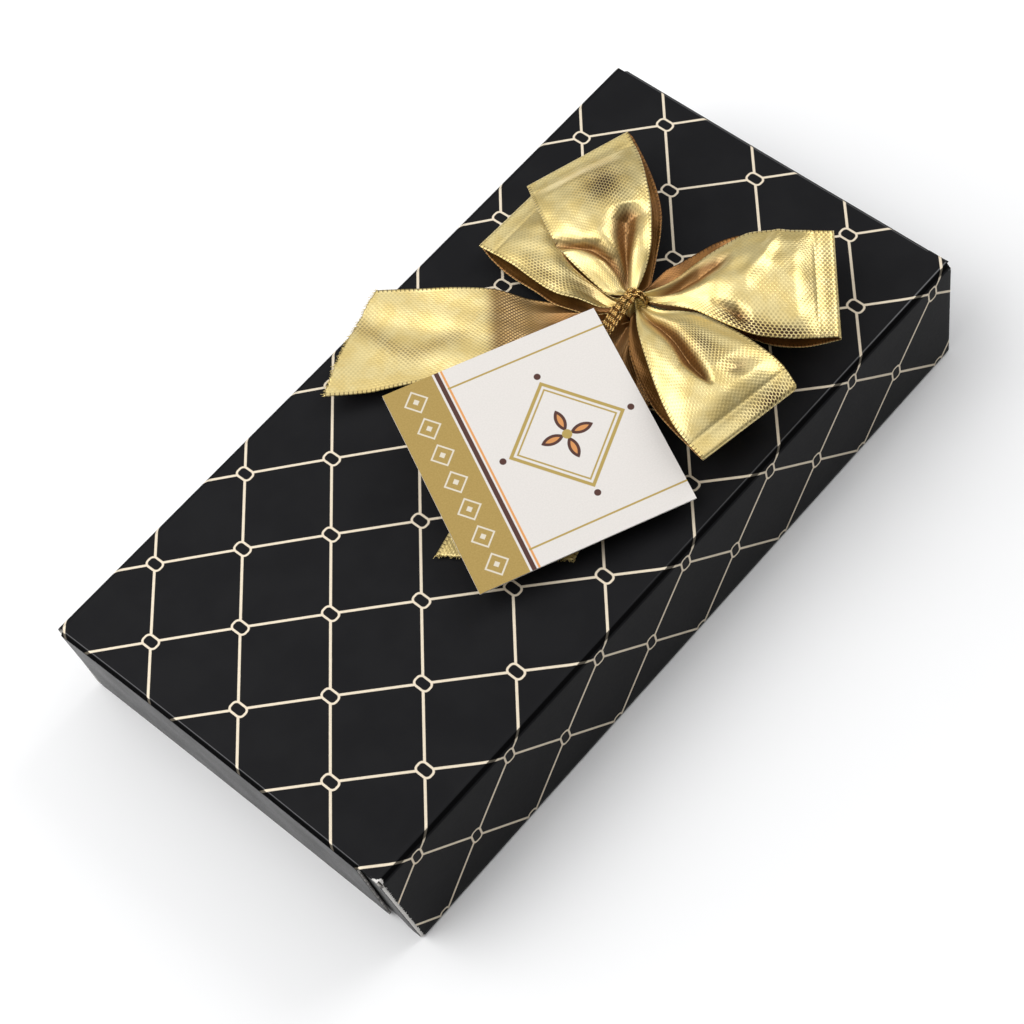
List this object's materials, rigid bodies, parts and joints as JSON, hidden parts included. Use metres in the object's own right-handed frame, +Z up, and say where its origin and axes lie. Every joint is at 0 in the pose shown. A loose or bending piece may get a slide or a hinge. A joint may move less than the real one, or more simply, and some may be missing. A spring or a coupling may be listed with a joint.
{
  "type": "box of chocolates",
  "caption": "Black hinged-lid carton with a gold diamond lattice, a gold ribbon bow and a square gift card on the lid, holding a tray of pralines under a cushioned lid.",
  "frame": {"origin": "centre of the box's footprint, on the surface it stands on", "axes": "+X along the length, away from the end the picture shows; +Y to the hinged back edge; +Z up through the lid"},
  "size_m": [0.1708, 0.0878, 0.0421],
  "materials": {
    "carton_board": "black satin print on white board, gold foil lattice",
    "tray_film": "thermoformed gold-brown film",
    "pad_paper": "quilted glassine cushion",
    "dark_chocolate": "tempered dark chocolate",
    "milk_chocolate": "tempered milk chocolate",
    "white_chocolate": "white chocolate",
    "gold_ribbon": "woven metallic gold",
    "gold_cord": "twisted metallic gold",
    "adhesive_foam": "white foam adhesive",
    "tag_paper": "smooth cream card with gold print"
  },
  "bodies": {
    "base": {"base_bottom": "carton_board", "base_front_wall": "carton_board", "base_back_wall": "carton_board", "base_end_wall_left": "carton_board", "base_end_wall_right": "carton_board", "base_corner_tab_front_left": "carton_board", "base_corner_tab_front_right": "carton_board", "base_corner_tab_back_left": "carton_board", "base_corner_tab_back_right": "carton_board", "praline_tray": "tray_film", "praline_r1c1": "dark_chocolate", "praline_r1c2": "milk_chocolate", "praline_r1c3": "milk_chocolate", "praline_r1c4": "white_chocolate", "praline_r1c5": "dark_chocolate", "praline_r1c6": "dark_chocolate", "praline_r2c1": "milk_chocolate", "praline_r2c2": "white_chocolate", "praline_r2c3": "dark_chocolate", "praline_r2c4": "dark_chocolate", "praline_r2c5": "dark_chocolate", "praline_r2c6": "milk_chocolate", "praline_r3c1": "dark_chocolate", "praline_r3c2": "dark_chocolate", "praline_r3c3": "dark_chocolate", "praline_r3c4": "milk_chocolate", "praline_r3c5": "milk_chocolate", "praline_r3c6": "white_chocolate"},
    "lid": {"lid_top_panel": "carton_board", "lid_front_skirt": "carton_board", "lid_end_skirt_left": "carton_board", "lid_end_skirt_right": "carton_board", "lid_corner_tab_left": "carton_board", "lid_corner_tab_right": "carton_board", "cushion_pad": "pad_paper", "bow_loop_back_right": "gold_ribbon", "bow_loop_back_left": "gold_ribbon", "bow_loop_front_right": "gold_ribbon", "bow_loop_front_left": "gold_ribbon", "bow_tail_left": "gold_ribbon", "bow_tail_front": "gold_ribbon", "bow_knot": "gold_ribbon", "bow_tie_cord": "gold_cord", "bow_adhesive_pad": "adhesive_foam"},
    "tag": {"tag_card": "tag_paper", "tag_cord": "gold_cord"}
  },
  "joints": [
    {"name": "lid_hinge", "type": "hinge", "parent": "base", "child": "lid", "pos_m": [0, 0.0439, 0.0256], "axis": [-1, 0, 0], "range_deg": [0, 110]},
    {"name": "tag_lift", "type": "hinge", "parent": "lid", "child": "tag", "pos_m": [0.0276, 0.0015, 0.0371], "axis": [-0.3559, 0.9237, 0.142], "range_deg": [0, 50]}
  ]
}
